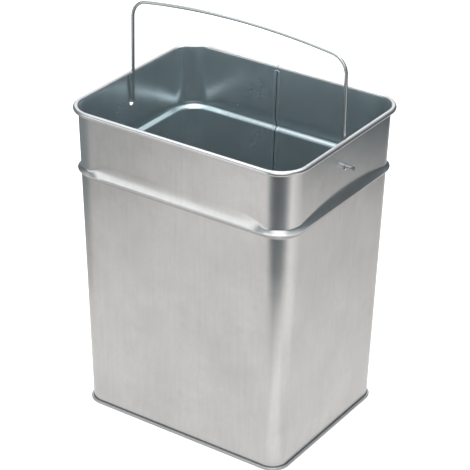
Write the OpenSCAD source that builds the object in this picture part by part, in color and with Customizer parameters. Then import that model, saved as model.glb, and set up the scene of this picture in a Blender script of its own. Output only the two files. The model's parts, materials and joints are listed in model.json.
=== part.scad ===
// Galvanised steel waste liner: an open rectangular can with a rolled and wired rim, a swaged
// bead, a lock seam down the back, a base held by a double seam, and a swinging wire bail.
// Millimetres. +Z is up, the front long wall faces -Y, and the origin is the middle of the
// base, on the surface that the can stands on.

/* [Can] */
// Outside width of the wall at the mouth, without the rim
body_w = 302; // [240:1:400]
// Outside depth of the wall at the mouth, without the rim
body_d = 240; // [190:1:300]
// Height from the floor to the top of the rolled rim
body_h = 397; // [320:1:500]
// How much further in each wall is at the floor than at the mouth
taper = 11; // [0:0.5:16]
// Outside radius of the upright corners at the mouth
corner_r = 31; // [24:1:60]
// Thickness of the galvanised sheet
sheet_t = 0.7; // [0.5:0.05:1]

/* [Rim] */
// Diameter of the wire rolled into the rim
rim_wire_d = 5; // [3:0.1:6.5]
// How far round the wire the sheet is rolled, in degrees
curl_angle = 300; // [240:5:320]

/* [Bead] */
// Depth of the bead's lower edge below the top of the rim
bead_drop = 85.5; // [75:0.5:150]
// Height of the bead from its lower to its upper edge
bead_h = 20.5; // [14:0.5:24]
// How far the bead stands out from the wall
bead_out = 4; // [2:0.25:6]
// Height of the bead's short lower flank
bead_flank = 6.5; // [3:0.25:9]
// How the upper flank fades into the wall: 1 is straight, 2 a parabola
bead_fade = 1.3; // [1:0.1:2.5]

/* [Base] */
// Height of the double seam round the base
seam_h = 3.8; // [3:0.1:6]
// Depth of the recess under the floor pan
pan_recess = 6; // [4:0.5:12]

/* [Lock seam] */
// Distance of the lock seam from the middle of the back wall, towards -X
lock_offset = 20; // [0:1:60]
// Width of the folded lock seam
lock_w = 8; // [6:0.5:12]

/* [Bail] */
// Diameter of the bail wire
bail_wire_d = 4; // [2.5:0.1:5]
// Diameter of the bail holes in the side walls
bail_hole_d = 8; // [6:0.5:10]
// Depth of the bail holes below the top of the rim
bail_hole_drop = 38; // [30:1:50]
// Height of the grip's crown above the top of the rim, at the wire's middle
bail_rise = 103; // [85:1:150]
// Lean of the bail's legs towards each other, in degrees
bail_splay = 0.5; // [0:0.1:4]
// Slope of the grip where it meets the corner bends, in degrees
grip_slope = 8; // [3:0.1:15]
// Radius of the bends between the legs and the grip, at the wire's middle
grip_bend_r = 22; // [8:0.5:30]
// Radius of the bends at the pivots, at the wire's middle
pivot_bend_r = 4; // [3.5:0.25:8]
// How far the pivots stand out of the wall
pivot_out = 12; // [8:0.5:20]
// Width of the flattened pivot ends
flat_w = 8.6; // [8:0.1:12]
// Length of the flattened pivot ends
flat_len = 3; // [2:0.25:5]
// Thickness of the flattened pivot ends
flat_t = 1.8; // [1:0.1:2.5]

/* [Clearances] */
// Gap between pressed sheet and the sheet or wire beside it
press_gap = 0.05; // [0.02:0.01:0.1]
// Gap between the pivot bend and the top of its hole
pivot_gap = 0.4; // [0.3:0.05:1]
// Gap between the bail's legs and the wall
leg_gap = 0.4; // [0.3:0.05:1]

/* [Hidden] */
$fn = 96;
zinc = "#b9bec1";
zinc_dull = "#a7adb0";
bright_wire = "#9da3a8";

// Double seam: the sheets lie side by side, one pitch apart, on a wall that stands upright there.
pitch = sheet_t + press_gap;
foot_z = seam_h + pitch;
foot_x = -taper;

// Where the outside of the wall is at a height, measured outwards from the mouth's outline.
function wall_x(z) = foot_x * (1 - max(0, z - foot_z) / (body_h - foot_z));

// Rolled rim: the wall runs up the inner side of the curl.
curl_in = rim_wire_d / 2 + press_gap;
curl_out = curl_in + sheet_t;
curl_z = body_h - curl_out;

// Bead: the lower flank is a short cosine, the upper one runs nearly straight back to the wall.
bead_z = body_h - bead_drop;
flank_steps = 8;
function bead_rise(h) = h < bead_flank
    ? bead_out * (1 - cos(180 * h / bead_flank)) / 2
    : bead_out * pow(1 - (h - bead_flank) / (bead_h - bead_flank), bead_fade);
bead_heights = concat(
    [for (i = [0:flank_steps]) bead_flank * i / flank_steps],
    [for (i = [1:flank_steps * 2]) bead_flank + (bead_h - bead_flank) * i / flank_steps / 2]);

// Outside of the wall from the floor to the rim, and the same line moved out along its normal.
wall_line = concat(
    [[foot_x, pitch], [foot_x, foot_z]],
    [for (h = bead_heights) [wall_x(bead_z + h) + bead_rise(h), bead_z + h]],
    [[0, curl_z]]);
function side_of(a, b) = let (d = b - a) [d.y, -d.x] / norm(d);
function moved(line, by) = [for (i = [0:len(line) - 1])
    let (before = side_of(line[max(i - 1, 0)], line[max(i, 1)]),
         after = side_of(line[min(i, len(line) - 2)], line[min(i + 1, len(line) - 1)]),
         out = before + after)
    line[i] + out * by / (1 + before * after)];
function reversed(line) = [for (i = [len(line) - 1:-1:0]) line[i]];

// Bail: its legs stand close to the wall, and its pivot bends pass through the holes.
hole_z = body_h - bail_hole_drop;
wall_in = body_w / 2 + wall_x(hole_z - bail_hole_d / 2) - sheet_t;
wire_r = bail_wire_d / 2;
leg_x = wall_in - leg_gap - wire_r;
bend_over = max(0, pivot_bend_r - leg_gap - wire_r);
bend_lift = pivot_bend_r - sqrt(pow(pivot_bend_r, 2) - pow(bend_over, 2));
bend_top = bend_lift + wire_r / cos(asin(bend_over / pivot_bend_r));
pivot_z = hole_z + bail_hole_d / 2 - bend_top - pivot_gap;
pivot_x = body_w / 2 + wall_x(hole_z) + pivot_out;
crown_z = body_h + bail_rise;
grip_lift = crown_z - pivot_z - grip_bend_r * (cos(grip_slope) - sin(bail_splay));
grip_reach = leg_x + grip_bend_r * (sin(grip_slope) - cos(bail_splay));
grip_r = (grip_reach - tan(bail_splay) * grip_lift)
    / (sin(grip_slope) - tan(bail_splay) * (1 - cos(grip_slope)));
bend_x = (grip_r - grip_bend_r) * sin(grip_slope);
bend_z = crown_z - grip_r + (grip_r - grip_bend_r) * cos(grip_slope);
leg_top = [bend_x, bend_z] + grip_bend_r * [cos(bail_splay), sin(bail_splay)];
grip_end = [0, crown_z - grip_r] + grip_r * [sin(grip_slope), cos(grip_slope)];
pivot_bend = [leg_x + pivot_bend_r * (1 / cos(bail_splay) - tan(bail_splay)), pivot_z + pivot_bend_r];
leg_foot = pivot_bend - pivot_bend_r * [cos(bail_splay), sin(bail_splay)];
pivot_start = [pivot_bend.x, pivot_z];
// The wire swells a little where it was bent: a ball at each end of a bend, proud of the wire.
ball_proud = 0.2;

// Sweeps a flat profile round the can: x is outwards from the mouth's outline, y is height.
module round_can() {
    span_x = body_w / 2 - corner_r;
    span_y = body_d / 2 - corner_r;
    for (turn = [0, 180])
        rotate([0, 0, turn]) {
            translate([body_w / 2, span_y, 0])
                rotate([90, 0, 0]) linear_extrude(2 * span_y) children();
            translate([span_x, span_y, 0])
                rotate_extrude(angle = 90) translate([corner_r, 0]) children();
            translate([-span_x, body_d / 2, 0])
                rotate([90, 0, 90]) linear_extrude(2 * span_x) children();
            translate([-span_x, span_y, 0])
                rotate([0, 0, 90]) rotate_extrude(angle = 90) translate([corner_r, 0]) children();
        }
}

// The sheet from the body hook in the double seam up to the rolled rim.
module sheet_profile() {
    polygon(concat(wall_line, reversed(moved(wall_line, -sheet_t))));
    // body hook, folded outwards and up
    translate([foot_x - sheet_t, pitch]) square([2 * pitch + 2 * sheet_t, sheet_t]);
    translate([foot_x + 2 * pitch, pitch]) square([sheet_t, seam_h - 2 * pitch]);
    // curl round the rim wire, open underneath beside the wall
    translate([curl_in, curl_z])
        difference() {
            circle(curl_out);
            circle(curl_in);
            polygon([[0, 0], 2 * curl_out * [-1, 0], 2 * curl_out * [-1, -1],
                2 * curl_out * [cos(180 - curl_angle), sin(180 - curl_angle)]]);
        }
}

// Folded ridge outside the back wall: two more sheets, following the bead.
module lock_seam() {
    line = [for (p = wall_line) if (p.y > pitch && p.y < curl_z) p];
    top = [wall_x(curl_z - curl_out - pitch), curl_z - curl_out - pitch];
    ridge = concat([line[0] + [0, pitch]], [for (i = [1:len(line) - 1]) line[i]], [top]);
    translate([-lock_offset + lock_w / 2, body_d / 2, 0])
        rotate([90, 0, 90]) mirror([0, 0, 1]) linear_extrude(lock_w)
            polygon(concat(moved(ridge, -sheet_t / 2), reversed(moved(ridge, 2 * sheet_t))));
}

module body_shell() {
    color(zinc)
        difference() {
            union() {
                round_can() sheet_profile();
                lock_seam();
            }
            translate([0, 0, hole_z])
                rotate([0, 90, 0]) cylinder(d = bail_hole_d, h = 2 * body_w, center = true);
        }
}

module rim_wire() {
    color(zinc_dull)
        round_can() translate([curl_in, curl_z]) circle(d = rim_wire_d);
}

// Floor pan: its rim runs down inside the wall, under the body hook, up and over it. The floor's
// strip in the profile reaches in to the corners' centres, and a plain plate fills the middle.
module pan_profile() {
    inner = foot_x - pitch - sheet_t;
    outer = foot_x + 3 * pitch + sheet_t;
    hook = foot_x + press_gap;
    polygon([
        [-corner_r, pan_recess - sheet_t], [inner, pan_recess - sheet_t], [inner, 0], [outer, 0],
        [outer, seam_h], [hook, seam_h], [hook, 2 * pitch], [hook + sheet_t, 2 * pitch],
        [hook + sheet_t, seam_h - sheet_t], [outer - sheet_t, seam_h - sheet_t],
        [outer - sheet_t, sheet_t], [inner + sheet_t, sheet_t],
        [inner + sheet_t, pan_recess], [-corner_r, pan_recess]]);
}

module base_pan() {
    color(zinc_dull) {
        round_can() pan_profile();
        translate([corner_r - body_w / 2, corner_r - body_d / 2, pan_recess - sheet_t])
            cube([body_w - 2 * corner_r, body_d - 2 * corner_r, sheet_t]);
    }
}

// A bend of the bail wire in the XZ plane, from one angle to another above +X.
module wire_bend(centre, bend_r, from, to) {
    translate([centre.x, 0, centre.y])
        rotate([90, 0, 0]) rotate([0, 0, from])
            rotate_extrude(angle = to - from) translate([bend_r, 0]) circle(wire_r);
}

// Half of the bail on the +X side, standing upright over its pivot.
module half_bail() {
    translate([pivot_start.x, 0, pivot_z])
        rotate([0, 90, 0]) cylinder(r = wire_r, h = pivot_x - flat_len - pivot_start.x);
    // flattened end, wider than the hole
    translate([pivot_x, flat_t / 2, pivot_z])
        rotate([90, 0, 0]) linear_extrude(flat_t)
            polygon([[0, -flat_w / 2], [0, flat_w / 2], [-flat_len, wire_r],
                [-flat_len - wire_r, wire_r / 2], [-flat_len - wire_r, -wire_r / 2], [-flat_len, -wire_r]]);
    wire_bend(pivot_bend, pivot_bend_r, 180 + bail_splay, 270);
    translate([leg_top.x, 0, leg_top.y])
        rotate([0, 180 - bail_splay, 0]) cylinder(r = wire_r, h = norm(leg_top - leg_foot));
    wire_bend([bend_x, bend_z], grip_bend_r, bail_splay, 90 - grip_slope);
    for (p = [pivot_start, leg_foot, leg_top, grip_end])
        translate([p.x, 0, p.y]) sphere(wire_r + ball_proud);
}

module bail() {
    color(bright_wire) {
        half_bail();
        mirror([1, 0, 0]) half_bail();
        wire_bend([0, crown_z - grip_r], grip_r, 90 - grip_slope, 90 + grip_slope, $fn = 480);
    }
}

body_shell();
rim_wire();
base_pan();
bail();
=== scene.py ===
import json
from math import cos, pi, radians, sin

import bpy
from mathutils import Matrix, Vector


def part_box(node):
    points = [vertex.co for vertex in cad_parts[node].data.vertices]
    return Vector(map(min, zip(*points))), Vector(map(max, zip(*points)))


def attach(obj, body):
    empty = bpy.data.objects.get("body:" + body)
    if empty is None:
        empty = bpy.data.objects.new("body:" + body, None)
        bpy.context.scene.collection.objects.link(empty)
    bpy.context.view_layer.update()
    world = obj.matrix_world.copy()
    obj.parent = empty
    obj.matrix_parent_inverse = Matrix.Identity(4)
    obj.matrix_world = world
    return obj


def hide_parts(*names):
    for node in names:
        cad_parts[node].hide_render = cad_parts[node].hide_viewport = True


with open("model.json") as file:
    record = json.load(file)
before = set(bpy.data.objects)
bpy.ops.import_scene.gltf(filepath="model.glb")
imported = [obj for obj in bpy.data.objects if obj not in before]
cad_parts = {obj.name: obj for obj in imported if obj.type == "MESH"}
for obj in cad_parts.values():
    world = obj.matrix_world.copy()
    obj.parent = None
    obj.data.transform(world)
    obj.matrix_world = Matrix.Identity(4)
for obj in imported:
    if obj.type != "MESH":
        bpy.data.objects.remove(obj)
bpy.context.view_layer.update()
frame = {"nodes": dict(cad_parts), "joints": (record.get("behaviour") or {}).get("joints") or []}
mm = 0.001
near = 1e-6                                      # how close a vertex lies to a line to count as on it
shellLow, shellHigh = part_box("body_shell")
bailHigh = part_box("bail")[1]
print("frame loaded")


# modelling helpers: the same few operators, used on every piece

def editMode(on):
    bpy.ops.object.mode_set(mode="EDIT" if on else "OBJECT")


def selectWhere(piece, test):
    # selects the vertices whose place passes the test, and nothing else
    editMode(True)
    bpy.ops.mesh.select_mode(type="VERT")
    bpy.ops.mesh.select_all(action="DESELECT")
    editMode(False)
    for vertex in piece.data.vertices:
        vertex.select = bool(test(vertex.co))
    editMode(True)


def startPoint(name, place):
    # one vertex at a place, ready to be extruded into a profile
    bpy.ops.object.select_all(action="DESELECT")
    bpy.ops.mesh.primitive_plane_add(size=2 * mm, location=place)
    piece = bpy.context.object
    piece.name = piece.data.name = name
    bpy.ops.object.transform_apply(location=True, rotation=True, scale=True)
    editMode(True)
    bpy.ops.mesh.merge(type="CENTER")
    return piece


def tracePath(points):
    # extrudes the selected vertex from point to point
    for a, b in zip(points, points[1:]):
        bpy.ops.mesh.extrude_region_move(TRANSFORM_OT_translate={"value": tuple(Vector(b) - Vector(a))})


def pushOut(move, steps):
    # extrudes what is selected by a move, in equal steps
    for _ in range(steps):
        bpy.ops.mesh.extrude_region_move(TRANSFORM_OT_translate={"value": tuple(Vector(move) / steps)})


def useModifier(piece, kind, **settings):
    # adds one modifier and applies it straight away
    editMode(False)
    bpy.ops.object.select_all(action="DESELECT")
    piece.select_set(True)
    bpy.context.view_layer.objects.active = piece
    modifier = piece.modifiers.new(kind.title(), kind)
    for key, value in settings.items():
        setattr(modifier, key, value)
    bpy.ops.object.modifier_apply(modifier=modifier.name)


def outwardNormals(piece):
    editMode(True)
    bpy.ops.mesh.select_all(action="SELECT")
    bpy.ops.mesh.remove_doubles(threshold=2 * near)
    bpy.ops.mesh.normals_make_consistent(inside=False)
    editMode(False)


def shadeSmooth(piece, angle=35):
    editMode(False)
    bpy.ops.object.select_all(action="DESELECT")
    piece.select_set(True)
    bpy.context.view_layer.objects.active = piece
    bpy.ops.object.shade_smooth_by_angle(angle=radians(angle))


def roundedPath(corners, steps):
    # corners: (across, up, bend radius); each bend becomes an arc
    points = []
    for i, (x, z, bend) in enumerate(corners):
        here = Vector((x, z))
        if bend == 0 or i in (0, len(corners) - 1):
            points.append(here)
            continue
        back = (Vector(corners[i - 1][:2]) - here).normalized()
        ahead = (Vector(corners[i + 1][:2]) - here).normalized()
        half = back.angle(ahead) / 2
        centre = here + (back + ahead).normalized() * bend / sin(half)
        start = here + back * bend / sin(half) * cos(half) - centre
        turn = start.angle_signed(here + ahead * bend / sin(half) * cos(half) - centre)
        for k in range(steps + 1):
            a = -turn * k / steps
            spoke = Vector((start.x * cos(a) - start.y * sin(a), start.x * sin(a) + start.y * cos(a)))
            points.append(centre + spoke)
    return points


# the can's outline, which the sheet and the floor pan share

canSizes = {
    "sheet": 0.7 * mm,                           # thickness of the galvanised sheet
    "cornerRadius": 31 * mm,                     # upright corners at the mouth
    "taper": 11 * mm,                            # each wall is this much further in at the floor
    "curlRadius": 2.55 * mm,                     # inside of the rolled rim
    "seamHeight": 3.8 * mm,                      # double seam at the base
    "pressGap": 0.05 * mm,                       # between layers that are pressed together
    "cornerSteps": 20,                           # columns round an upright corner
    "longSteps": 20,                             # columns on half a long wall
    "shortSteps": 16,                            # columns on half a short wall
}
sheet = canSizes["sheet"]
pitch = sheet + canSizes["pressGap"]
curlOut = canSizes["curlRadius"] + sheet
mouthX = shellHigh.x - canSizes["curlRadius"] - curlOut
mouthY = (shellHigh.y - shellLow.y) / 2 - canSizes["curlRadius"] - curlOut
rimTop = shellHigh.z
centreX = mouthX - canSizes["cornerRadius"]      # middle of an upright corner
centreY = mouthY - canSizes["cornerRadius"]
footZ = canSizes["seamHeight"] + pitch


def wallAt(z):
    # how far the wall's outer face is from the mouth's outline, at a height
    return -canSizes["taper"] * (1 - max(0, z - footZ) / (rimTop - footZ))


def sweepQuarter(name, profile):
    # profile: (outwards from the mouth's outline, height), spun round a corner and drawn along both walls
    line = [(mouthX + x, centreY, z) for x, z in profile]
    piece = startPoint(name, line[0])
    tracePath(line)
    bpy.ops.mesh.select_all(action="SELECT")
    bpy.ops.mesh.spin(steps=canSizes["cornerSteps"], angle=-pi / 2, center=(centreX, centreY, 0),
                      axis=(0, 0, 1))
    pushOut((-centreX, 0, 0), canSizes["longSteps"])
    selectWhere(piece, lambda p: abs(p.y - centreY) < near and p.x > centreX + near)
    pushOut((0, -centreY, 0), canSizes["shortSteps"])
    return piece


def wholeCan(piece):
    # mirrors the quarter both ways, and turns an open sheet's faces away from the can's middle
    useModifier(piece, "MIRROR", use_axis=(True, True, False), merge_threshold=5 * near)
    outwardNormals(piece)
    if sum(face.normal.xy.dot(face.center.xy) * face.area for face in piece.data.polygons) < 0:
        editMode(True)
        bpy.ops.mesh.flip_normals()
        editMode(False)


# the sheet body: wall, swaged bead, rolled rim, bail holes

shellSizes = {
    "beadFoot": 311.5 * mm,                      # lower edge of the bead
    "beadOut": 4 * mm,                           # how far it stands out
    "beadSharp": 6.5 * mm,                       # height of its short lower flank
    "beadSoft": 5.5 * mm,                        # height of its upper flank round the corners
    "beadFade": 1.6,                             # 1 makes that flank straight, 2 a parabola
    "beadMargin": 1 * mm,                        # from the bead to the nearest rows of the plain wall
    "longStretch": 3.1,                          # how many times higher it is on the long walls
    "shortStretch": 2.9,                         # and on the short walls
    "longOver": 34 * mm,                         # it widens over this distance from a corner
    "shortOver": 86 * mm,
    # the plain wall's other rows of vertices: heights, and distances below the middle of the roll
    "wallHeights": [h * mm for h in (12, 30, 70, 120, 170, 220, 260, 290, 305)],
    "curlMargins": (6 * mm, 3 * mm),
    "sharpSteps": 8,
    "softSteps": 14,
    "curlSteps": 26,
    "curlAngle": 300,                            # degrees round the rim wire
    "holeRadius": 4 * mm,
    "holeDrop": 38 * mm,                         # below the top of the rim
    "holeSides": 42,                             # no corner of the hole lies on the line Y = 0
    "holeCut": 30 * mm,
    "notchSize": (1.1 * mm, 12 * mm, 9 * mm),    # where the ends of the rim meet at the lock seam
    "notchOut": 0.8 * mm,                        # its middle, beyond one roll radius out from the mouth
    "notchDrop": 2 * mm,                         # and below the top of the rim
    "seamFromMiddle": 20 * mm,
    "seamWidth": 8 * mm,
    "seamSteps": 4,
    "seamFoot": 2 * mm,                          # the lock seam starts above the double seam
    "seamHead": 5 * mm,                          # and its outside ends below the middle of the roll
    "seamInside": 0.5 * mm,                      # thickness of the fold that shows inside
    "seamRounding": 0.35,                        # roundness of its edges, for a thickness of 1
    "seamEdge": 50,                              # degrees; sharper edges are rounded
}
beadCrest = shellSizes["beadFoot"] + shellSizes["beadSharp"]
beadTop = beadCrest + shellSizes["beadSoft"]
beadLimit = beadTop + 1.5 * shellSizes["beadMargin"]     # the sheet is stretched from the crest to here
curlZ = rimTop - curlOut
seamX = -shellSizes["seamFromMiddle"]
seamHalf = shellSizes["seamWidth"] / 2


def beadRise(z):
    # the lower flank is a short cosine, the upper one runs nearly straight back to the wall
    out = shellSizes["beadOut"]
    if shellSizes["beadFoot"] < z <= beadCrest:
        return out * (1 - cos(pi * (z - shellSizes["beadFoot"]) / shellSizes["beadSharp"])) / 2
    if beadCrest < z < beadTop:
        return out * (1 - (z - beadCrest) / shellSizes["beadSoft"]) ** shellSizes["beadFade"]
    return 0


def wallLevels():
    # the heights at which the wall has a row of vertices
    foot, margin = shellSizes["beadFoot"], shellSizes["beadMargin"]
    sharpSteps, softSteps = shellSizes["sharpSteps"], shellSizes["softSteps"]
    levels = [footZ, *shellSizes["wallHeights"], foot - margin]
    levels += [foot + shellSizes["beadSharp"] * i / sharpSteps for i in range(sharpSteps + 1)]
    levels += [beadCrest + shellSizes["beadSoft"] * i / softSteps for i in range(1, softSteps + 1)]
    return levels + [beadTop + margin] + [curlZ - drop for drop in shellSizes["curlMargins"]]


def bodyProfile():
    # hook in the double seam, then up the outer face of the wall and round the rim wire
    hookTop = canSizes["seamHeight"] - pitch
    hookX = wallAt(0) + 2 * pitch
    hook = [(hookX, hookTop), (hookX, pitch + sheet), (wallAt(0), pitch + sheet)]
    wall = [(wallAt(z) + beadRise(z), z) for z in wallLevels()]
    curl = []
    r = canSizes["curlRadius"]
    for i in range(shellSizes["curlSteps"] + 1):
        a = radians(180 - shellSizes["curlAngle"] * i / shellSizes["curlSteps"])
        curl.append((r + r * cos(a), curlZ + r * sin(a)))
    return hook + wall + curl


def widenBead(piece, along, corner, most, over):
    # on a flat wall the sheet gives more, so the upper flank of the bead runs higher there
    spots = sorted({round(v.co[along], 6) for v in piece.data.vertices if v.co[along] < corner - near})
    other = 1 - along
    flat = (centreX, centreY)[other]
    for spot in spots:
        t = min(1, (corner - spot) / over)
        stretch = 1 + (most - 1) * t * (2 - t)
        selectWhere(piece, lambda p: abs(p[along] - spot) < near and p[other] > flat + 5 * near
                    and beadCrest + near < p.z < beadLimit)
        bpy.ops.transform.resize(value=(1, 1, stretch), center_override=(0, 0, beadCrest))
        editMode(False)


def cutAway(piece, cutter):
    # takes the cutter's shape out of the piece
    bpy.context.view_layer.update()
    useModifier(piece, "BOOLEAN", object=cutter, operation="DIFFERENCE", solver="EXACT")
    bpy.data.objects.remove(cutter)


def makeCanBody():
    body = sweepQuarter("can_body", bodyProfile())
    editMode(False)
    widenBead(body, 0, centreX, shellSizes["longStretch"], shellSizes["longOver"])
    widenBead(body, 1, centreY, shellSizes["shortStretch"], shellSizes["shortOver"])
    wholeCan(body)
    useModifier(body, "SOLIDIFY", thickness=sheet, offset=-1, use_even_offset=True, use_rim=True)
    for side in (1, -1):                         # bail holes, cut level through the side walls
        bpy.ops.mesh.primitive_cylinder_add(vertices=shellSizes["holeSides"], radius=shellSizes["holeRadius"],
                                            depth=shellSizes["holeCut"], rotation=(0, pi / 2, 0),
                                            location=(side * mouthX, 0, rimTop - shellSizes["holeDrop"]))
        cutAway(body, bpy.context.object)
    # notch where the rolled rim's ends meet at the lock seam
    notchY = mouthY + curlOut + shellSizes["notchOut"]
    bpy.ops.mesh.primitive_cube_add(size=1, location=(seamX, notchY, rimTop - shellSizes["notchDrop"]))
    notch = bpy.context.object
    bpy.ops.transform.resize(value=shellSizes["notchSize"])
    cutAway(body, notch)
    editMode(True)                               # takes out any slivers that the cuts leave
    bpy.ops.mesh.select_all(action="SELECT")
    bpy.ops.mesh.dissolve_degenerate(threshold=near)
    editMode(False)
    shadeSmooth(body)
    for face in body.data.polygons:              # the second material, tinted with painted cool shade, is for the inside of the wall
        if face.normal.xy.dot(face.center.xy) < 0 and face.center.z < curlZ:
            face.material_index = 1
    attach(body, "can")
    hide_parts("body_shell")
    return body


def seamStrip(name, profile, outward, thickness):
    # a strip as wide as the lock seam, drawn across the back wall's profile
    line = [(seamX + seamHalf, mouthY + x, z) for x, z in profile]
    strip = startPoint(name, line[0])
    tracePath(line)
    bpy.ops.mesh.select_all(action="SELECT")
    pushOut((-2 * seamHalf, 0, 0), shellSizes["seamSteps"])
    editMode(False)
    outwardNormals(strip)
    facesBack = sum(face.normal.y for face in strip.data.polygons) > 0
    side = 1 if facesBack == outward else -1
    useModifier(strip, "SOLIDIFY", thickness=thickness, offset=side, use_rim=True)
    useModifier(strip, "BEVEL", width=thickness * shellSizes["seamRounding"], segments=3,
                limit_method="ANGLE", angle_limit=radians(shellSizes["seamEdge"]))
    shadeSmooth(strip, shellSizes["seamEdge"])
    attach(strip, "can")
    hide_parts("body_shell")
    return strip


def makeLockSeam():
    # the folded ridge outside, and the flat of the fold that shows inside; both follow the stretched bead
    def at(z):
        if beadCrest < z < beadLimit:
            return beadCrest + (z - beadCrest) * shellSizes["longStretch"]
        return z

    levels = [z for z in wallLevels() if z > footZ + shellSizes["seamFoot"]]
    outside = [(wallAt(z) + beadRise(z), at(z)) for z in levels if z < curlZ - shellSizes["seamHead"]]
    inside = [(wallAt(z) + beadRise(z) - sheet, at(z)) for z in levels]
    return (seamStrip("lock_seam_outside", outside, True, 2 * sheet),
            seamStrip("lock_seam_inside", inside, False, shellSizes["seamInside"]))


canBody = makeCanBody()
lockSeams = makeLockSeam()
print("can body and lock seam made", len(canBody.data.polygons))


# the floor pan with the double seam

panSizes = {
    "recess": 6 * mm,                            # floor above the standing face
    "floorBend": 1.6 * mm,
    "channelBend": 0.5 * mm,                     # where the pan's wall turns out under the seam
    "seamBend": 0.9 * mm,                        # roundness of the seam's edges
    "hookBend": 0.6 * mm,                        # where the pan's edge turns down inside the seam
    "hookGap": 0.3 * mm,                         # left under the end of the hook
    "bendSteps": 5,
    "floorStrip": 12 * mm,                       # swept part of the floor, inside the wall
    "floorInset": 4 * mm,                        # less than the radius left at the strip's inner corners
}


def makeFloorPan():
    half = sheet / 2
    inner = wallAt(0) - pitch - half
    outer = wallAt(0) + 3 * pitch + half
    hook = wallAt(0) + canSizes["pressGap"] + half
    floorZ = panSizes["recess"] - half
    bend = panSizes["seamBend"]
    seamTop = canSizes["seamHeight"] - half
    profile = roundedPath([(inner - panSizes["floorStrip"], floorZ, 0),
                           (inner, floorZ, panSizes["floorBend"]),
                           (inner, half, panSizes["channelBend"]), (outer, half, bend),
                           (outer, seamTop, bend), (hook, seamTop, panSizes["hookBend"]),
                           (hook, 2 * pitch + panSizes["hookGap"], 0)], panSizes["bendSteps"])
    pan = sweepQuarter("floor_pan", [tuple(p) for p in profile])
    wholeCan(pan)
    # close the middle of the floor
    edge = inner - panSizes["floorStrip"] + near
    selectWhere(pan, lambda p: abs(p.z - floorZ) < 5 * near and abs(p.x) < mouthX + edge
                and abs(p.y) < mouthY + edge)
    bpy.ops.mesh.edge_face_add()
    bpy.ops.mesh.inset(thickness=panSizes["floorInset"])
    editMode(False)
    outwardNormals(pan)
    useModifier(pan, "SOLIDIFY", thickness=sheet, offset=0, use_even_offset=True, use_rim=True)
    shadeSmooth(pan)
    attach(pan, "can")
    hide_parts("base_pan")
    return pan


floorPan = makeFloorPan()
print("floor pan made", len(floorPan.data.polygons))


# the bail: one bent wire with flattened ends

bailSizes = {
    "wire": 2 * mm,                              # radius
    "around": 20,                                # vertices round the wire
    "lean": 0.5,                                 # degrees the legs lean towards each other
    "gripSlope": 8,                              # degrees where the grip meets its corner bends
    "gripBend": 22 * mm,
    "pivotBend": 4 * mm,
    "legGap": 0.4 * mm,                          # between the legs and the wall
    "tipWidth": 8.6 * mm,
    "tipThickness": 1.8 * mm,
    "tipLength": 3 * mm,
    "tipFade": 3 * mm,                           # over which the flattening ends
    "tipSteps": 4,
    "fadeSteps": 3,
    "flatShares": (0.8, 1, 1, 0.85, 0.5, 0.2, 0.06),     # how flat each ring is, from the tip inwards
    "thinAhead": 1.1,                            # the wire gets thin a little before it gets wide
    "tipInset": 0.3 * mm,
    "straightSteps": 3,
    "pivotSteps": 10,
    "legSteps": 10,
    "bendSteps": 14,
    "gripSteps": 24,
    "smoothAngle": 50,
}


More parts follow.
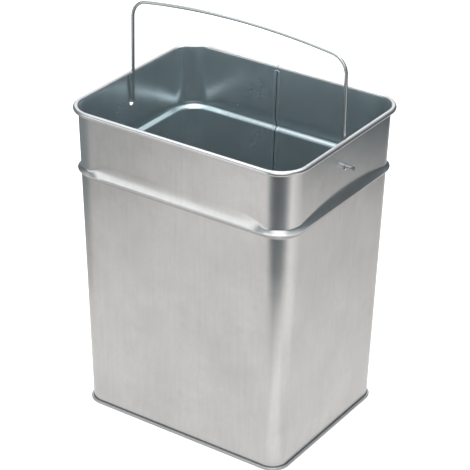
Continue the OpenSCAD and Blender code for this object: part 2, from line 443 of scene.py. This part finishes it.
def makeBail():
    wire = bailSizes["wire"]
    lean = radians(bailSizes["lean"])
    slope = radians(bailSizes["gripSlope"])
    gripBend, pivotBend = bailSizes["gripBend"], bailSizes["pivotBend"]
    tipLength, tipFade = bailSizes["tipLength"], bailSizes["tipFade"]
    tipSteps, fadeSteps = bailSizes["tipSteps"], bailSizes["fadeSteps"]
    pivotX = bailHigh.x
    pivotZ = frame["joints"][0]["pos_m"][2]
    crown = bailHigh.z - wire
    holeFoot = rimTop - shellSizes["holeDrop"] - shellSizes["holeRadius"]
    legX = mouthX + wallAt(holeFoot) - sheet - bailSizes["legGap"] - wire
    rise = crown - pivotZ - gripBend * (cos(slope) - sin(lean))
    reach = legX + gripBend * (sin(slope) - cos(lean))
    tilt = sin(lean) / cos(lean)
    gripRadius = (reach - tilt * rise) / (sin(slope) - tilt * (1 - cos(slope)))
    bendX = (gripRadius - gripBend) * sin(slope)
    bendZ = crown - gripRadius + (gripRadius - gripBend) * cos(slope)
    turnX = legX + pivotBend * (1 / cos(lean) - tilt)
    turnZ = pivotZ + pivotBend
    legFoot = Vector((turnX - pivotBend * cos(lean), 0, turnZ - pivotBend * sin(lean)))
    legTop = Vector((bendX + gripBend * cos(lean), 0, bendZ + gripBend * sin(lean)))

    bpy.ops.object.select_all(action="DESELECT")
    bpy.ops.mesh.primitive_circle_add(vertices=bailSizes["around"], radius=wire, location=(pivotX, 0, pivotZ),
                                      rotation=(0, pi / 2, 0))
    bail = bpy.context.object
    bail.name = bail.data.name = "bail_handle"
    bpy.ops.object.transform_apply(location=True, rotation=True, scale=True)
    editMode(True)
    bpy.ops.mesh.select_all(action="SELECT")
    pushOut((-tipLength, 0, 0), tipSteps)
    pushOut((-tipFade, 0, 0), fadeSteps)
    pushOut((turnX + tipLength + tipFade - pivotX, 0, 0), bailSizes["straightSteps"])
    bpy.ops.mesh.spin(steps=bailSizes["pivotSteps"], angle=lean - pi / 2, center=(turnX, 0, turnZ),
                      axis=(0, 1, 0))
    pushOut(legTop - legFoot, bailSizes["legSteps"])
    bpy.ops.mesh.spin(steps=bailSizes["bendSteps"], angle=pi / 2 - slope - lean, center=(bendX, 0, bendZ),
                      axis=(0, 1, 0))
    bpy.ops.mesh.spin(steps=bailSizes["gripSteps"], angle=slope, center=(0, 0, crown - gripRadius),
                      axis=(0, 1, 0))
    # flatten the end: thinner in Y and wider in Z, most of all just behind the tip
    rings = [tipLength * i / tipSteps for i in range(tipSteps + 1)]
    rings += [tipLength + tipFade * i / fadeSteps for i in range(1, fadeSteps)]
    for inwards, share in zip(rings, bailSizes["flatShares"]):
        x = pivotX - inwards
        thin = 1 + (bailSizes["tipThickness"] / wire / 2 - 1) * min(1, share * bailSizes["thinAhead"])
        wide = 1 + (bailSizes["tipWidth"] / wire / 2 - 1) * share
        selectWhere(bail, lambda p: abs(p.x - x) < 10 * near and abs(p.z - pivotZ) < wire * 2)
        bpy.ops.transform.resize(value=(1, thin, wide), center_override=(x, 0, pivotZ))
    selectWhere(bail, lambda p: abs(p.x - pivotX) < near)
    bpy.ops.mesh.edge_face_add()
    bpy.ops.mesh.inset(thickness=bailSizes["tipInset"])
    editMode(False)
    useModifier(bail, "MIRROR", use_axis=(True, False, False), merge_threshold=20 * near)
    outwardNormals(bail)
    shadeSmooth(bail, bailSizes["smoothAngle"])
    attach(bail, "bail")
    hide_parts("bail")
    return bail


bailHandle = makeBail()
print("bail made", len(bailHandle.data.polygons))


# finishes

def addNode(tree, kind, **inputs):
    node = tree.nodes.new(kind)
    for key, value in inputs.items():
        if key in node.inputs:
            node.inputs[key].default_value = value
        else:
            setattr(node, key, value)
    return node


def mathNode(tree, operation, a, b=None, clamp=False):
    node = tree.nodes.new("ShaderNodeMath")
    node.operation = operation
    node.use_clamp = clamp
    for socket, value in zip(node.inputs, (a, b)):
        if value is None:
            continue
        if isinstance(value, (int, float)):
            socket.default_value = value
        else:
            tree.links.new(value, socket)
    return node.outputs[0]


def blendNode(tree, factor, first, second, **settings):
    # mixes two colours; each value is a fixed one or comes from a socket
    node = addNode(tree, "ShaderNodeMix", data_type="RGBA", **settings)
    for socket, value in ((node.inputs[0], factor), (node.inputs[6], first), (node.inputs[7], second)):
        if isinstance(value, tuple):
            socket.default_value = (*value, 1)
        elif isinstance(value, float):
            socket.default_value = value
        else:
            tree.links.new(value, socket)
    return node.outputs[2]


def rampNode(tree, value, low, high, toLow=0.0, toHigh=1.0):
    # a soft step of a value between two levels
    node = tree.nodes.new("ShaderNodeMapRange")
    node.interpolation_type = "SMOOTHSTEP"
    tree.links.new(value, node.inputs["Value"])
    for key, number in (("From Min", low), ("From Max", high), ("To Min", toLow), ("To Max", toHigh)):
        node.inputs[key].default_value = number
    return node.outputs["Result"]


def newGroup(name, inputs, outputs):
    group = bpy.data.node_groups.new(name, "ShaderNodeTree")
    for label, kind, value in inputs:
        socket = group.interface.new_socket(label, in_out="INPUT", socket_type=kind)
        if value is not None:
            socket.default_value = value
    for label, kind in outputs:
        group.interface.new_socket(label, in_out="OUTPUT", socket_type=kind)
    return group, group.nodes.new("NodeGroupInput").outputs, group.nodes.new("NodeGroupOutput").inputs


spangleSizes = {
    "crystals": 260.0,                           # scale of the crystals, the higher the finer
    "wander": 90.0,                              # scale at which their edges wander
    "wanderBy": 1.5 * mm,
    "mottle": 14.0,
    "grain": 240.0,
    "crystalTone": 0.02,                         # how much the crystals, mottle and grain change the grey
    "mottleTone": 0.30,
    "grainTone": 0.04,
    "crystalGloss": 0.01,                        # and how much they change the roughness
    "mottleGloss": 0.14,
    "grainHeight": 0.3,
}


def makeSpangle():
    # zinc crystals a few millimetres across, each a slightly different grey, over a broad soft mottle
    sizes = spangleSizes
    group, given, out = newGroup("zincSpangle",
                                 [("Position", "NodeSocketVector", None),
                                  ("Crystal Scale", "NodeSocketFloat", sizes["crystals"]),
                                  ("Contrast", "NodeSocketFloat", 1.0)],
                                 [("Tone", "NodeSocketFloat"), ("Gloss Change", "NodeSocketFloat"),
                                  ("Height", "NodeSocketFloat")])
    links = group.links
    warp = addNode(group, "ShaderNodeTexNoise", Scale=sizes["wander"], Detail=3.0)
    links.new(given["Position"], warp.inputs["Vector"])
    shift = group.nodes.new("ShaderNodeVectorMath")
    shift.operation = "MULTIPLY_ADD"
    links.new(warp.outputs["Color"], shift.inputs[0])
    shift.inputs[1].default_value = (sizes["wanderBy"],) * 3
    links.new(given["Position"], shift.inputs[2])
    crystals = addNode(group, "ShaderNodeTexVoronoi")
    links.new(shift.outputs[0], crystals.inputs["Vector"])
    links.new(given["Crystal Scale"], crystals.inputs["Scale"])
    cell = group.nodes.new("ShaderNodeSeparateColor")
    links.new(crystals.outputs["Color"], cell.inputs[0])
    mottle = addNode(group, "ShaderNodeTexNoise", Scale=sizes["mottle"], Detail=3.0, Roughness=0.6)
    links.new(given["Position"], mottle.inputs["Vector"])
    fine = addNode(group, "ShaderNodeTexNoise", Scale=sizes["grain"], Detail=1.0)
    links.new(given["Position"], fine.inputs["Vector"])
    own = mathNode(group, "SUBTRACT", cell.outputs[0], 0.5)
    wide = mathNode(group, "SUBTRACT", mottle.outputs[0], 0.5)
    grain = mathNode(group, "SUBTRACT", fine.outputs[0], 0.5)
    mixed = mathNode(group, "ADD", mathNode(group, "MULTIPLY", own, sizes["crystalTone"]),
                     mathNode(group, "MULTIPLY", wide, sizes["mottleTone"]))
    mixed = mathNode(group, "ADD", mixed, mathNode(group, "MULTIPLY", grain, sizes["grainTone"]))
    tone = mathNode(group, "ADD", mathNode(group, "MULTIPLY", mixed, given["Contrast"]), 1.0)
    links.new(tone, out["Tone"])
    gloss = mathNode(group, "ADD", mathNode(group, "MULTIPLY", cell.outputs[1], sizes["crystalGloss"]),
                     mathNode(group, "MULTIPLY", wide, sizes["mottleGloss"]))
    links.new(gloss, out["Gloss Change"])
    links.new(mathNode(group, "MULTIPLY", fine.outputs[0], sizes["grainHeight"]), out["Height"])
    return group


markSizes = {
    "lines": 260.0,                              # scale of the marks, the higher the finer
    "drawnOut": (1.0, 1.0, 0.06),                # the smaller the last value, the longer they run upwards
    "lineTone": 0.10,
    "scuffs": 22.0,
    "scuffLevels": (0.50, 0.78),                 # where a scuff starts to show and is full
    "scuffTone": 0.05,
}


def makeRollMarks():
    # long faint marks that the rolling mill leaves in one direction, and the odd scuff from handling
    sizes = markSizes
    group, given, out = newGroup("rollMarks",
                                 [("Position", "NodeSocketVector", None), ("Amount", "NodeSocketFloat", 1.0)],
                                 [("Tone", "NodeSocketFloat"), ("Height", "NodeSocketFloat")])
    links = group.links
    stretched = group.nodes.new("ShaderNodeMapping")
    stretched.inputs["Scale"].default_value = sizes["drawnOut"]
    links.new(given["Position"], stretched.inputs["Vector"])
    lines = addNode(group, "ShaderNodeTexNoise", Scale=sizes["lines"], Detail=2.0, Roughness=0.5)
    links.new(stretched.outputs[0], lines.inputs["Vector"])
    scuffs = addNode(group, "ShaderNodeTexNoise", Scale=sizes["scuffs"], Detail=3.0, Roughness=0.5)
    links.new(given["Position"], scuffs.inputs["Vector"])
    scuffMask = rampNode(group, scuffs.outputs[0], *sizes["scuffLevels"])
    marks = mathNode(group, "MULTIPLY", mathNode(group, "SUBTRACT", lines.outputs[0], 0.5), sizes["lineTone"])
    marks = mathNode(group, "ADD", marks, mathNode(group, "MULTIPLY", scuffMask, sizes["scuffTone"]))
    links.new(mathNode(group, "ADD", mathNode(group, "MULTIPLY", marks, given["Amount"]), 1.0), out["Tone"])
    links.new(lines.outputs[0], out["Height"])
    return group


zincSpangle = makeSpangle()
rollMarks = makeRollMarks()

zincColours = {
    "inside": (0.562, 0.640, 0.665),             # painted cool shade: the inside is a little bluer, for the bluish light inside the can
    "sheet": (0.565, 0.575, 0.578),
    "pan": (0.43, 0.438, 0.44),
    "wire": (0.50, 0.515, 0.525),
    "rimWire": (0.34, 0.35, 0.355),
    # the colour of the painted shade in creases and along the fold's edge
    "paintedShade": (0.045, 0.05, 0.055),
}
zincSizes = {
    "metallic": 0.86,
    "creaseShadeFade": (0.3 * mm, 1.4 * mm),          # painted shade is full this near a crease, and gone this far off
    "beadCrease": (0.8 * mm, 0.35),              # height above the bead's foot, and how dark the painted shade there is
    "baseCrease": (0.5 * mm, 0.4),               # the same above the double seam
    "foldEdge": 0.4 * mm,                        # the fold's open edge, beside the middle of the lock seam
    # the painted shade of the fold's edge is full this near it, and gone this far off
    "foldShadeFade": (0.35 * mm, 0.9 * mm),
    "foldFrom": (16 * mm, 15 * mm),              # only this close to the back wall
    "foldRough": 0.3,
    "grainBump": 0.006,
    "grainDepth": 0.4 * mm,
    "waves": 7.0,                                # scale of the waves in the sheet
    "waveDepth": 6 * mm,
}


def makeZinc(name, colour, roughness, contrast=1.0, marks=1.0, waves=0.0, shadedCreases=(), seamLine=False):
    # bright galvanised steel: spangle, rolling marks, painted shade in creases and along the lock seam's
    # fold, and slight waves in the sheet
    material = bpy.data.materials.new(name)
    material.use_nodes = True
    tree = material.node_tree
    links = tree.links
    shader = tree.nodes["Principled BSDF"]
    shader.inputs["Metallic"].default_value = zincSizes["metallic"]
    place = tree.nodes.new("ShaderNodeTexCoord").outputs["Object"]
    spangle = addNode(tree, "ShaderNodeGroup", node_tree=zincSpangle)
    spangle.inputs["Contrast"].default_value = contrast
    rolled = addNode(tree, "ShaderNodeGroup", node_tree=rollMarks)
    rolled.inputs["Amount"].default_value = marks
    for node in (spangle, rolled):
        links.new(place, node.inputs["Position"])
    tone = mathNode(tree, "MULTIPLY", spangle.outputs["Tone"], rolled.outputs["Tone"])
    base = blendNode(tree, 1.0, colour, tone, blend_type="MULTIPLY")
    rough = mathNode(tree, "ADD", spangle.outputs["Gloss Change"], roughness, clamp=True)
    split = tree.nodes.new("ShaderNodeSeparateXYZ")
    links.new(place, split.inputs[0])
    for height, share in shadedCreases:
        # painted shade in the creases: under the bead and on top of the double seam
        away = mathNode(tree, "ABSOLUTE", mathNode(tree, "SUBTRACT", split.outputs[2], height))
        dark = rampNode(tree, away, *zincSizes["creaseShadeFade"], share, 0.0)
        base = blendNode(tree, dark, base, zincColours["paintedShade"])
    if seamLine:
        # painted shade along the open edge of the fold inside, a hair wide, where the gap under the fold is
        # in shadow; the line is also rougher
        fromEdge = mathNode(tree, "SUBTRACT", split.outputs[0], seamX + zincSizes["foldEdge"])
        onBack = rampNode(tree, split.outputs[1], *(mouthY - inwards for inwards in zincSizes["foldFrom"]))
        line = rampNode(tree, mathNode(tree, "ABSOLUTE", fromEdge), *zincSizes["foldShadeFade"], 1.0, 0.0)
        line = mathNode(tree, "MULTIPLY", line, onBack)
        base = blendNode(tree, line, base, zincColours["paintedShade"])
        rougher = mathNode(tree, "MULTIPLY", line, zincSizes["foldRough"])
        rough = mathNode(tree, "ADD", rough, rougher, clamp=True)
    links.new(base, shader.inputs["Base Color"])
    links.new(rough, shader.inputs["Roughness"])
    grain = addNode(tree, "ShaderNodeBump", Strength=zincSizes["grainBump"], Distance=zincSizes["grainDepth"])
    height = mathNode(tree, "ADD", spangle.outputs["Height"], rolled.outputs["Height"])
    links.new(height, grain.inputs["Height"])
    if waves:
        swell = addNode(tree, "ShaderNodeTexNoise", Scale=zincSizes["waves"], Detail=1.0)
        links.new(place, swell.inputs["Vector"])
        broad = addNode(tree, "ShaderNodeBump", Strength=waves, Distance=zincSizes["waveDepth"])
        links.new(swell.outputs[0], broad.inputs["Height"])
        links.new(broad.outputs[0], grain.inputs["Normal"])
    links.new(grain.outputs[0], shader.inputs["Normal"])
    return material


def paint(piece, material):
    if piece.data.materials:
        for i in range(len(piece.data.materials)):
            piece.data.materials[i] = material
    else:
        piece.data.materials.append(material)


# painted shade under the bead and above the double seam: height, and how dark it is
shadedCreases = [(foot + zincSizes[crease][0], zincSizes[crease][1])
           for foot, crease in ((shellSizes["beadFoot"], "beadCrease"),
                                (canSizes["seamHeight"], "baseCrease"))]
sheetZinc = makeZinc("galvanised_sheet", zincColours["sheet"], roughness=0.24, waves=0.2, shadedCreases=shadedCreases)
insideShadeZinc = makeZinc("galvanised_inside_cool_shade", zincColours["inside"], roughness=0.24, waves=0.2)
# the inside fold of the lock seam takes the same painted cool shade
seamZinc = makeZinc("galvanised_seam", zincColours["inside"], roughness=0.27, seamLine=True)
panZinc = makeZinc("galvanised_pan", zincColours["pan"], roughness=0.42)
wireZinc = makeZinc("bright_wire", zincColours["wire"], roughness=0.2, contrast=0.5, marks=1.4)
rimZinc = makeZinc("rim_wire", zincColours["rimWire"], roughness=0.4, contrast=1.2)
canBody.data.materials.append(sheetZinc)
canBody.data.materials.append(insideShadeZinc)
paint(lockSeams[0], sheetZinc)
paint(lockSeams[1], seamZinc)
paint(floorPan, panZinc)
paint(bailHandle, wireZinc)
paint(frame["nodes"]["rim_wire"], rimZinc)
print("finishes made")


# camera, floor and light

cameraSizes = {
    "turn": 33.80,                               # degrees from the front towards +X
    "above": 28.26,                              # degrees above level
    "roll": 0.92,
    "distance": 2.3187,
    "aim": (-0.0045, 0.0106, 0.2192),
    "lens": 148.37,
    "sensor": 36,
    "nearest": 0.05,
}


def makeCamera():
    settings = cameraSizes
    turn, above = radians(settings["turn"]), radians(settings["above"])
    lens = bpy.data.cameras.new("camera")
    lens.lens = settings["lens"]
    lens.sensor_width = settings["sensor"]
    lens.clip_start = settings["nearest"]
    camera = bpy.data.objects.new("camera", lens)
    bpy.context.collection.objects.link(camera)
    away = Vector((sin(turn) * cos(above), -cos(turn) * cos(above), sin(above)))
    camera.location = Vector(settings["aim"]) + away * settings["distance"]
    spin = Matrix.Rotation(turn, 3, "Z") @ Matrix.Rotation(pi / 2 - above, 3, "X")
    spin = spin @ Matrix.Rotation(radians(settings["roll"]), 3, "Z")
    camera.rotation_euler = spin.to_euler()
    bpy.context.scene.camera = camera
    return away


studio = {
    "skyDim": (0.085, 0.11, 0.135),              # the unlit room, a little blue
    "overhead": (0.90, 0.94, 0.96),
    "overheadLobe": ((0, 0, 1), 0.20, 0.92),     # direction, and the cosines where it starts and is full
    # the soft boxes: brightness, direction, and the cosines where each starts and is full
    "frontLeft": (1.7, (-0.557, -0.83, 0.02), 0.90, 0.985),      # low down in front of the long wall
    "nearSide": (1.9, (0.557, -0.83, 0.65), 0.80, 0.95),         # a little above the viewer
    "backTop": (1.3, (-0.5, 0.72, 0.55), 0.80, 0.93),            # over the back, on the left
    "tableSize": 12,
    "tableDrop": 0.2 * mm,                       # keeps the table clear of the can's foot
    "tableWhite": (0.85, 0.85, 0.85, 1),
    "tableBright": 0.95,
    "tableWarm": (1.0, 0.962, 0.93),             # colour of the table where it is lit
    "tableBlue": (0.72, 0.90, 1.0),              # and where it lies in shade
    "viewerShade": (0.38, 0.62, 0.06, 0.64, 1.0),     # the patch towards the viewer, as in tablePatches
    "tableLevels": (0.1, 0.6),                   # brightness where it is all blue and all warm
    "tableGlow": 0.62,                           # what is added to the table's own white
    "overheadWatts": 12.0,
    "overheadColour": (0.95, 0.98, 1.0),
    "overheadSize": 1.6,
    "overheadHeight": 1.5,
}
# where the metal mirrors the table brighter or darker: direction in plan, metres out where the change
# starts and is full, the change, and the cosines of the wedge's edges
tablePatches = {
    "nearCorner": (0.73, -0.68, 0.16, 0.21, 1.22, 0.955, 0.995),
    "backRight": (0.557, 0.83, 0.20, 0.55, 0.80, 0.3, 0.7),
    "farBackRight": (0.557, 0.83, 0.60, 0.95, 0.10, 0.3, 0.7),
    "left": (-1, -0.02, 0.22, 0.72, 0.30, 0.2, 0.6),
    "farFrontLeft": (-0.557, -0.83, 0.85, 1.3, 1.95, 0.80, 0.95),
    "right": (1, -0.15, 0.25, 0.5, 1.3, 0.45, 0.8),
}


def lobe(tree, direction, towards, low, high):
    # how much a direction lies near another, as a soft step between two cosines
    node = tree.nodes.new("ShaderNodeVectorMath")
    node.operation = "DOT_PRODUCT"
    tree.links.new(direction, node.inputs[0])
    node.inputs[1].default_value = Vector(towards).normalized()
    return rampNode(tree, node.outputs["Value"], low, high)


def makeWorld():
    world = bpy.data.worlds.new("studio")
    bpy.context.scene.world = world
    world.use_nodes = True
    tree = world.node_tree
    tree.nodes.clear()
    links = tree.links
    direction = tree.nodes.new("ShaderNodeTexCoord").outputs["Generated"]
    overhead = lobe(tree, direction, *studio["overheadLobe"])
    colour = blendNode(tree, overhead, studio["skyDim"], studio["overhead"])
    for box in ("frontLeft", "nearSide", "backTop"):
        bright, *where = studio[box]
        colour = blendNode(tree, lobe(tree, direction, *where), colour, (bright,) * 3)
    seen = tree.nodes.new("ShaderNodeLightPath").outputs["Is Camera Ray"]
    colour = blendNode(tree, seen, colour, (1.0, 1.0, 1.0))
    glow = tree.nodes.new("ShaderNodeBackground")
    links.new(colour, glow.inputs["Color"])
    links.new(glow.outputs[0], tree.nodes.new("ShaderNodeOutputWorld").inputs["Surface"])


def makeFloor(away):
    # a pale table; the metal mirrors it darker towards the viewer, on the left and behind on the right,
    # and brighter beside the near corner, on the right and far out in front of the long wall
    bpy.ops.object.select_all(action="DESELECT")
    bpy.ops.mesh.primitive_plane_add(size=studio["tableSize"], location=(0, 0, -studio["tableDrop"]))
    floor = bpy.context.object
    floor.name = "floor"
    bpy.ops.object.transform_apply(location=True)
    material = bpy.data.materials.new("pale_floor")
    material.use_nodes = True
    tree = material.node_tree
    links = tree.links
    tree.nodes.clear()
    place = tree.nodes.new("ShaderNodeTexCoord").outputs["Object"]
    split = tree.nodes.new("ShaderNodeSeparateXYZ")
    links.new(place, split.inputs[0])

    reach = tree.nodes.new("ShaderNodeVectorMath")
    reach.operation = "LENGTH"
    links.new(place, reach.inputs[0])

    def patch(x, y, start, end, change, wide, narrow):
        # the table changes towards (x, y), from start to end metres out, inside a wedge
        way = Vector((x, y)).normalized()
        out = mathNode(tree, "ADD", mathNode(tree, "MULTIPLY", split.outputs[0], way.x),
                       mathNode(tree, "MULTIPLY", split.outputs[1], way.y))
        wedge = rampNode(tree, mathNode(tree, "DIVIDE", out, reach.outputs["Value"]), wide, narrow)
        share = mathNode(tree, "MULTIPLY", rampNode(tree, out, start, end), wedge)
        return mathNode(tree, "ADD", mathNode(tree, "MULTIPLY", share, change - 1), 1.0)

    strength = patch(away.x, away.y, *studio["viewerShade"])
    for spot in tablePatches.values():
        strength = mathNode(tree, "MULTIPLY", strength, patch(*spot))
    warmth = rampNode(tree, strength, *studio["tableLevels"])
    mirrored = tree.nodes.new("ShaderNodeEmission")
    links.new(blendNode(tree, warmth, studio["tableBlue"], studio["tableWarm"]), mirrored.inputs["Color"])
    links.new(mathNode(tree, "MULTIPLY", strength, studio["tableBright"]), mirrored.inputs["Strength"])
    pale = tree.nodes.new("ShaderNodeEmission")
    pale.inputs["Strength"].default_value = studio["tableGlow"]
    matt = tree.nodes.new("ShaderNodeBsdfDiffuse")
    matt.inputs["Color"].default_value = studio["tableWhite"]
    seenFloor = tree.nodes.new("ShaderNodeAddShader")
    links.new(pale.outputs[0], seenFloor.inputs[0])
    links.new(matt.outputs[0], seenFloor.inputs[1])
    mix = tree.nodes.new("ShaderNodeMixShader")
    path = tree.nodes.new("ShaderNodeLightPath")
    links.new(path.outputs["Is Camera Ray"], mix.inputs[0])
    links.new(mirrored.outputs[0], mix.inputs[1])
    links.new(seenFloor.outputs[0], mix.inputs[2])
    links.new(mix.outputs[0], tree.nodes.new("ShaderNodeOutputMaterial").inputs["Surface"])
    floor.data.materials.append(material)


def makeOverhead():
    # a cool soft box straight above, which reaches down into the can
    lamp = bpy.data.lights.new("overhead", "AREA")
    lamp.size = studio["overheadSize"]
    lamp.energy = studio["overheadWatts"]
    lamp.color = studio["overheadColour"]
    box = bpy.data.objects.new("overhead", lamp)
    box.location = (0, 0, studio["overheadHeight"])
    bpy.context.collection.objects.link(box)


away = makeCamera()
makeWorld()
makeFloor(away)
makeOverhead()
bpy.context.scene.view_settings.view_transform = "Standard"
print("camera, floor and light placed")
